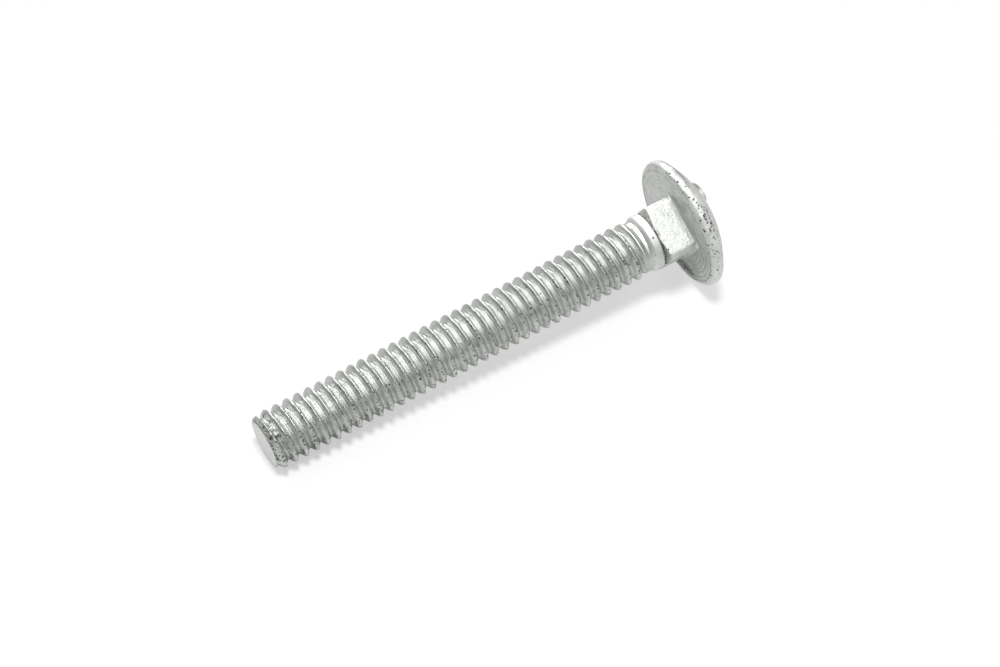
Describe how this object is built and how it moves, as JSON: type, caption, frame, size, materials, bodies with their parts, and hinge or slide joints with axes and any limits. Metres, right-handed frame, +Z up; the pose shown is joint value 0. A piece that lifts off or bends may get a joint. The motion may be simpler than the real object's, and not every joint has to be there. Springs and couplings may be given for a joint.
{
  "type": "carriage bolt",
  "caption": "Round-head carriage bolt with a square neck, a threaded shank and a chamfered tip, in galvanised steel, lying at rest.",
  "frame": {"origin": "centre of the footprint, on the surface that the bolt lies on", "axes": "+X from the tip to the head along the surface, +Z up; the bolt's own axis rises 4.8 degrees from the tip to the head, because the head's rim is wider than the thread"},
  "size_m": [0.0545, 0.0146, 0.0146],
  "materials": {
    "zinc": "hot-dip galvanised zinc, semi-gloss, slightly grainy"
  },
  "bodies": {
    "root": {"bolt": "zinc"}
  },
  "joints": []
}
